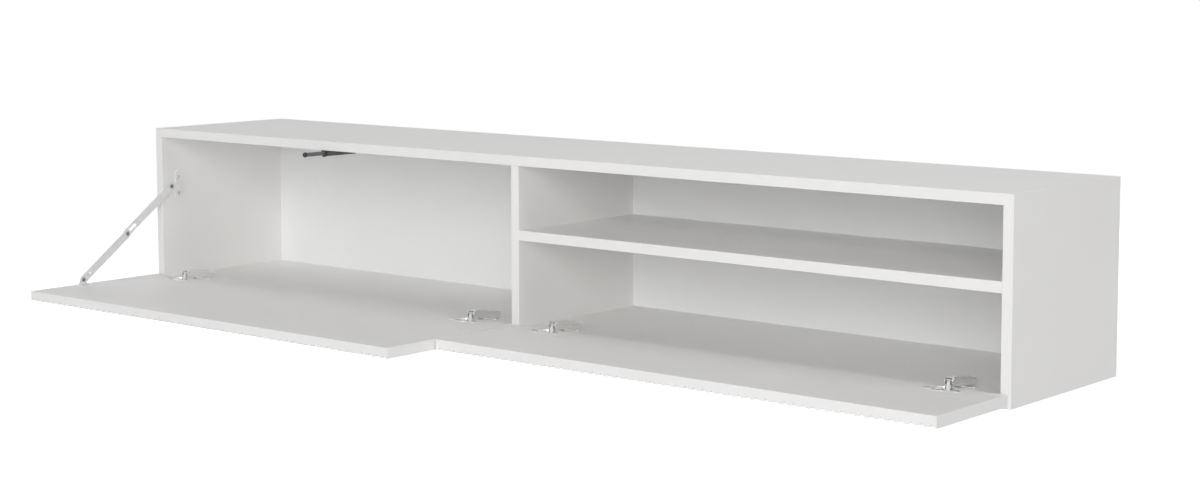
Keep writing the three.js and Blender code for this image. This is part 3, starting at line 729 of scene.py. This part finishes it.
def hinge_arm(x):
    """A pressed channel: the side view is drawn, the roof edges bent, then it is hollowed."""
    corners = [
        (58, 21.5), (58, 30.935), (40.2, 34.08), (4.956, 38.98), (-8.216, 40), (-13.2, 35.005),
        (-13.2, 30.935), (-9.996, 25.94), (-0.028, 25.94), (15.28, 22.055),
    ]
    radii = [0.8, 1.5, 12, 14, 4, 3, 3, 1.6, 3, 6]
    arm = sheet_from_side("hinge_arm", rounded(corners, radii), (x - 7.5, x + 7.5))

    def roof_edge(edge):
        ways = [face.normal for face in edge.link_faces]
        return any(abs(w.x) > 0.99 for w in ways) and any(w.z > 0.3 for w in ways)

    ease(arm, 1.9, roof_edge, 4)
    channel = [
        (65, 12), (65, 29.435), (58, 29.435), (40.2, 32.58), (4.956, 37.48), (-8.216, 38.5),
        (-22, 38.5), (-22, 12),
    ]
    hollow = sheet_from_side("hollow", channel, (x - 6, x + 6))
    ease(hollow, 0.8, roof_edge, 2)
    cut(arm, hollow)
    seat = strap([(26, 0), (31, 0)], 2.2)
    slot = sheet_from_top("slot", [(x + b, a) for a, b in seat], (33, 45))
    cut(arm, slot)
    soften(arm, 0.2, above=55, steps=1)
    eyes = []
    dome = [(0, -0.5), (1.7, -0.5), (1.7, 0), (1.36, 0.28), (0, 0.38)]
    for y, z in (INNER_PIVOT, OUTER_PIVOT):
        for way in (-1, 1):
            eyes.append(turned("eye", spot(x + way * 7.5, y, z), (way, 0, 0), dome, 16))
    return together("hinge_arm", arm, *eyes)


def mounting_plate(x):
    """The plate under the arm: a stadium with two screw holes and a stepped spine."""
    wings = strap([(x - 17, PLATE_SCREW_Y), (x + 17, PLATE_SCREW_Y)], 7, 12)
    plate = sheet_from_top("hinge_plate", wings, (BOARD, BOARD + 2))
    corners = [(14, 18), (60, 18), (60, 29.13), (58, 29.13), (40.2, 32.28), (14, 35.9)]
    spine = rounded(corners, [0, 0, 0.8, 2, 8, 1.5])
    welded(plate, sheet_from_side("ridge", spine, both_sides(x, 5.7)))
    cut(plate, *plate_pilots(x))
    return soften(plate, 0.35, above=50)


def adjusting_screws(x):
    """Two screws in the arm's roof and the clip at its tail."""
    pattern = cross_head_screw("arm_screw", 3.1, 1.1, 1.6, 3)
    turn = turned_at_zero(-8, "X")
    first = copied(pattern, "screw_tail", (x, 47, 32.75), turn)
    second = copied(pattern, "screw_middle", (x, 20, 36.75), turn)
    bpy.data.objects.remove(pattern)
    corners = [(57, 22.5), (62, 22.5), (64.2, 25), (64.2, 26.4), (61.4, 24.2), (57, 24.2)]
    tongue = rounded(corners, [0, 2, 1, 0.5, 1, 0])
    clip = sheet_from_side("clip", tongue, both_sides(x, 4))
    soften(clip, 0.3, above=50)
    return together("hinge_adjusters", first, second, clip)


def inner_link(x):
    end = from_point(INNER_PIVOT, 17.3, 252.1)
    link = sheet_from_side("inner_link", dumbbell(INNER_PIVOT, end, 2.2, 1.1), (x - 3, x + 3))
    soften(link, 0.25, above=50, steps=1)
    pin = sheet_from_side("pin", circle(INNER_PIVOT, 1.25, 16), (x - 5.7, x + 5.7))
    return together("inner_link", link, soften(pin, 0.15, above=50, steps=1))


def outer_link(x):
    knee = from_point(OUTER_PIVOT, 7, 201)
    end = from_point(knee, 8.1, 248.2)
    outline = strap([OUTER_PIVOT, knee, end], 1.5)
    pieces = [
        soften(sheet_from_side("cheek", outline, (x + low, x + high)), 0.2, above=50, steps=1)
        for low, high in ((-5.2, -3.6), (3.6, 5.2))
    ]
    pin = sheet_from_side("pin", circle(OUTER_PIVOT, 1.25, 16), (x - 5.7, x + 5.7))
    return together("outer_link", *pieces, soften(pin, 0.15, above=50, steps=1))


def hinges():
    x = HINGES["left_hinge_1"]
    cup, arm, plate = hinge_cup(x), hinge_arm(x), mounting_plate(x)
    adjusters, inner, outer = adjusting_screws(x), inner_link(x), outer_link(x)
    cup_screw = cross_head_screw("cup_screw", 3.6, 1, 1.7, 11)
    plate_screw = cross_head_screw("plate_screw", 3.6, 1.3, 2.2, 13)
    for hinge, place in HINGES.items():
        side = hinge.split("_")[0]
        shift = (place - x, 0, 0)
        for piece, body, finish, slot, node in (
            (cup, f"{side}_flap", NICKEL, "nickel", "cup"),
            (arm, "carcass", NICKEL, "nickel", "arm"),
            (plate, "carcass", NICKEL, "nickel", "mounting_plate"),
            (inner, f"{side}_inner_links", STEEL, "steel", "inner_link"),
            (outer, f"{side}_outer_links", STEEL, "steel", "outer_link"),
        ):
            made = copied(piece, f"{hinge}_{node}_dressed", shift)
            fitted(made, body, finish, slot, [f"{hinge}_{node}"])
        fitted(copied(adjusters, f"{hinge}_adjusters", shift), "carcass", STEEL, "steel")
        for number, way in ((1, -1), (2, 1)):
            at = (place + way * CUP_SCREW_X, CUP_SCREW_Y, FLAP_TOP + 1)
            screw(cup_screw, f"{hinge}_cup_screw_{number}", f"{side}_flap", at)
            at = (place + way * PLATE_SCREW_X, PLATE_SCREW_Y, BOARD + 2)
            screw(plate_screw, f"{hinge}_plate_screw_{number}", "carcass", at)
    for piece in (cup, arm, plate, adjusters, inner, outer, cup_screw, plate_screw):
        bpy.data.objects.remove(piece)


# ---- Folding lid stay

def domed_pin(name, place, start, end, head=4.2, shank=2.7):
    """A pin across the arms, from one X to another, with a domed head on its far end."""
    y, z = place
    length = end - start
    profile = [
        (0, 0), (shank, 0), (shank, length), (head * 0.97, length), (head, length + 0.25),
        (head * 0.86, length + 0.72), (head * 0.55, length + 0.98), (0, length + 1.1),
    ]
    return turned(name, spot(start, y, z), (1, 0, 0), profile, 28)


def lid_stay():
    span = (STAY_SIDE[0] - STAY_FLAP[0], STAY_SIDE[1] - STAY_FLAP[1])
    way = (span[0] / hypot(*span), span[1] / hypot(*span))

    def along(distance):
        """The place at a distance from the flap's pivot towards the side's."""
        return (STAY_FLAP[0] + way[0] * distance, STAY_FLAP[1] + way[1] * distance)

    elbow, slot_end = along(138), along(165)
    sheet = (BOARD, BOARD + 1.5)
    outline = strap([(SIDE_SCREW_Y, 185), (SIDE_SCREW_Y, 227)], 9, 12)
    plate = sheet_from_side("side_plate", outline, sheet)
    ear = strap([STAY_SIDE, (SIDE_SCREW_Y, STAY_SIDE[1])], 7, 10)
    welded(plate, sheet_from_side("ear", ear, sheet))
    holes = [circle((SIDE_SCREW_Y, z), 2) for z in SIDE_SCREWS_Z]
    cut(plate, *[sheet_from_side("hole", hole, (16, 22)) for hole in holes])
    soften(plate, 0.3, above=50)
    plate.name = "stay_side_plate"
    fitted(plate, "carcass", ZINC, "stay_metal", ["stay_side_bracket"])
    fitted(domed_pin("stay_side_pin", STAY_SIDE, 18.2, 21.7), "carcass", PAINTED_REFLECTION_STEEL, "steel")

    upper = sheet_from_side("stay_slotted_arm", strap([STAY_SIDE, elbow], 8.5, 16), (19.9, 21.4))
    cut(
        upper,
        sheet_from_side("slot", strap([slot_end, elbow], 3, 10), (17, 24)),
        sheet_from_side("eye", circle(STAY_SIDE, 3), (17, 24)),
    )
    soften(upper, 0.3, above=50)
    fitted(upper, "stay_upper_arm", ZINC, "stay_metal", ["stay_upper_arm"])

    lower = sheet_from_side("stay_plain_arm", strap([elbow, STAY_FLAP], 8.5, 16), (23.7, 25.2))
    cut(
        lower,
        sheet_from_side("eye", circle(elbow, 3), (20, 28)),
        sheet_from_side("eye", circle(STAY_FLAP, 3), (20, 28)),
        sheet_from_side("small_hole", circle(along(20), 1.6, 16), (20, 28)),
    )
    soften(lower, 0.3, above=50)
    fitted(lower, "stay_lower_arm", ZINC, "stay_metal", ["stay_lower_arm"])

    collar = [(0, 0), (4, 0), (4.2, 0.2), (4.2, 1.4), (4, 1.6), (0, 1.6)]
    rivet = together(
        "stay_elbow_rivet",
        turned("collar", spot(21.8, *elbow), (1, 0, 0), collar, 28),
        domed_pin("pin", elbow, 23.3, 25.5),
    )
    fitted(rivet, "stay_lower_arm", PAINTED_REFLECTION_STEEL, "steel", ["stay_rivet"])

    corners = [(21.8, -220.5), (36.8, -220.5), (36.8, -195.5), (21.8, -195.5)]
    foot = sheet_from_top("foot", rounded(corners, [0, 4, 4, 0]), (FLAP_TOP, FLAP_TOP + 1.5))
    ear = [(-220.5, FLAP_TOP), (-195.5, FLAP_TOP)] + arc(STAY_FLAP, 6, 8, 172, 12)
    welded(foot, sheet_from_side("ear", ear, (21.8, 23.3)))
    cut(foot, *foot_pilots())
    soften(foot, 0.3, above=50)
    foot.name = "stay_flap_foot"
    fitted(foot, "left_flap", ZINC, "stay_metal", ["stay_flap_bracket"])
    fitted(domed_pin("stay_foot_pin", STAY_FLAP, 22, 25.5), "left_flap", PAINTED_REFLECTION_STEEL, "steel")

    side_screw = cross_head_screw("side_screw", 3.4, 1.2, 1.7, 14)
    lying = turned_at_zero(90, "Y")
    for number, z in enumerate(SIDE_SCREWS_Z, 1):
        at = (sheet[1], SIDE_SCREW_Y, z)
        screw(side_screw, f"stay_side_screw_{number}", "carcass", at, lying)
    flap_screw = cross_head_screw("flap_screw", 2.8, 1, 1.5, 11)
    for number, y in enumerate(FOOT_SCREWS_Y, 1):
        at = (FOOT_SCREW_X, y, FLAP_TOP + 1.5)
        screw(flap_screw, f"stay_flap_screw_{number}", "left_flap", at)
    for piece in (side_screw, flap_screw):
        bpy.data.objects.remove(piece)


# ---- Push latch

def push_latch():
    body = board("latch_body", both_sides(LATCH_X, 6.5), (5, 83), (296, INNER_TOP))
    ease(body, 2.6, lambda edge: runs_along(edge, 1) and middle(edge).z < 300, 4)
    ease(body, 0.5, lambda edge: not runs_along(edge, 1) and middle(edge).y > 80, 2)
    bore = [(0, 0), (4.3, 0), (4.3, 72), (0, 72)]
    cut(body, turned("bore", spot(LATCH_X, -2, LATCH_Z), (0, 1, 0), bore, 32))
    fitted(body, "carcass", DARK_PLASTIC, "dark_plastic", ["latch_housing"])
    ring = [
        (4.3, 0.5), (4.8, 0), (6.9, 0), (7.5, 0.6), (7.5, 3.6), (7.1, 4), (4.3, 4), (4.3, 0.5),
    ]
    collar = turned("latch_collar", spot(LATCH_X, 3, LATCH_Z), (0, 1, 0), ring, 40)
    trim(collar, spot(0, 0, INNER_TOP), Vector((0, 0, 1)))
    fitted(collar, "carcass", COLLAR_PLASTIC, "dark_plastic")
    rod = [
        (0, 0), (3.6, 0), (4, 0.4), (4, 3), (3.8, 3.3), (3.8, 4.1), (4, 4.4), (4, 62.9),
        (3.5, 63.4), (0, 63.4),
    ]
    plunger = turned("latch_rod", spot(LATCH_X, -43.4, LATCH_Z), (0, 1, 0), rod, 32)
    fitted(plunger, "latch_plunger", GREY_PLASTIC, "grey_plastic", ["latch_plunger"])
    cap = [
        (0, 0.25), (2, 0.1), (3.1, 0), (4, 0.4), (4.6, 1.3), (4.8, 2.4), (4.8, 4.6), (4.6, 5),
        (4.3, 5), (4.3, 4), (0, 4),
    ]
    tip = turned("latch_cap", spot(LATCH_X, -47.7, LATCH_Z), (0, 1, 0), cap, 32)
    fitted(tip, "latch_plunger", SOFT_TIP, "soft_tip", ["latch_tip"])


# ---- Light, floor and camera

def seen_or_mirrored(nodes, links):
    """1 for what the camera sees, also in a mirror or through glass, and 0 for other light."""
    rays = nodes.new("ShaderNodeLightPath")
    found = rays.outputs["Is Camera Ray"]
    for kind in ("Is Glossy Ray", "Is Transmission Ray"):
        either = nodes.new("ShaderNodeMath")
        either.operation = "MAXIMUM"
        links.new(found, either.inputs[0])
        links.new(rays.outputs[kind], either.inputs[1])
        found = either.outputs[0]
    return found


def room():
    """An evenly lit white room, white behind the object in mirrors and glass too."""
    world = bpy.data.worlds.new("white_room")
    bpy.context.scene.world = world
    world.use_nodes = True
    nodes, links = world.node_tree.nodes, world.node_tree.links
    background = nodes["Background"]
    level = nodes.new("ShaderNodeMapRange")
    level.inputs["To Min"].default_value = ROOM_LIGHT
    level.inputs["To Max"].default_value = 1
    links.new(seen_or_mirrored(nodes, links), level.inputs["Value"])
    background.inputs["Color"].default_value = (1, 1, 1, 1)
    links.new(level.outputs["Result"], background.inputs["Strength"])


def soft_box(name, around, up, power, mirrored=False):
    """A square soft box, aimed at the console: degrees round to the right, degrees up, watts.

    Gloss mirrors the key alone, so a top that is seen at a low angle doesn't wash out."""
    light = bpy.data.lights.new(name, "AREA")
    light.shape, light.size, light.energy = "SQUARE", BOX_SIZE, power
    made = bpy.data.objects.new(name, light)
    bpy.context.scene.collection.objects.link(made)
    aim = Vector((0, -0.2, 0))
    turn, lift = radians(around), radians(up)
    away = Vector((sin(turn) * cos(lift), -cos(turn) * cos(lift), sin(lift)))
    made.location = aim + away * BOX_AWAY
    made.rotation_euler = (-away).to_track_quat("-Z", "Y").to_euler()
    made.visible_camera = False
    made.visible_glossy = mirrored


def floor():
    """A pale floor well below the console. It shows white where no shadow falls on it."""
    bpy.ops.mesh.primitive_plane_add(size=40, location=(0, 0, FLOOR_HEIGHT))
    ground = bpy.context.object
    ground.name = "floor"
    made = Finish("pale_floor")
    stops = [(0.3, (0.82, 0.82, 0.82)), (0.7, (0.84, 0.84, 0.84))]
    made.colour(made.tones(made.noise(3, 3), stops))
    made.gloss(made.spread(made.noise(8, 2), 0.8, 0.9))
    made.shader.inputs["Emission Color"].default_value = (1, 1, 1, 1)
    lift = made.spread(seen_or_mirrored(made.nodes, made.links), 0, FLOOR_LIFT, 0, 1)
    made.links.new(lift, made.shader.inputs["Emission Strength"])
    ground.data.materials.append(made.material)


def camera():
    """Stands where the photograph was taken from, tilted down so that the frame shifts little."""
    lens = bpy.data.cameras.new("camera")
    lens.lens, lens.sensor_width, lens.shift_y = 65.829, 36, -0.07
    made = bpy.data.objects.new("camera", lens)
    bpy.context.scene.collection.objects.link(made)
    made.location = (2.60803, -3.22313, 0.46773)
    made.rotation_euler = (radians(84.6543), radians(0.067), radians(39.9252))
    bpy.context.scene.camera = made


carcass()
cleats()
flaps()
hinges()
lid_stay()
push_latch()
room()
soft_box("key", 20, 16, 290, mirrored=True)
soft_box("side_key", 38, 12, 145)
soft_box("right_fill", 90, 55, 195)
soft_box("left_fill", -90, 3, 280)
soft_box("back_fill", 178, 2, 300)
floor()
camera()
bpy.context.scene.view_settings.view_transform = "Standard"
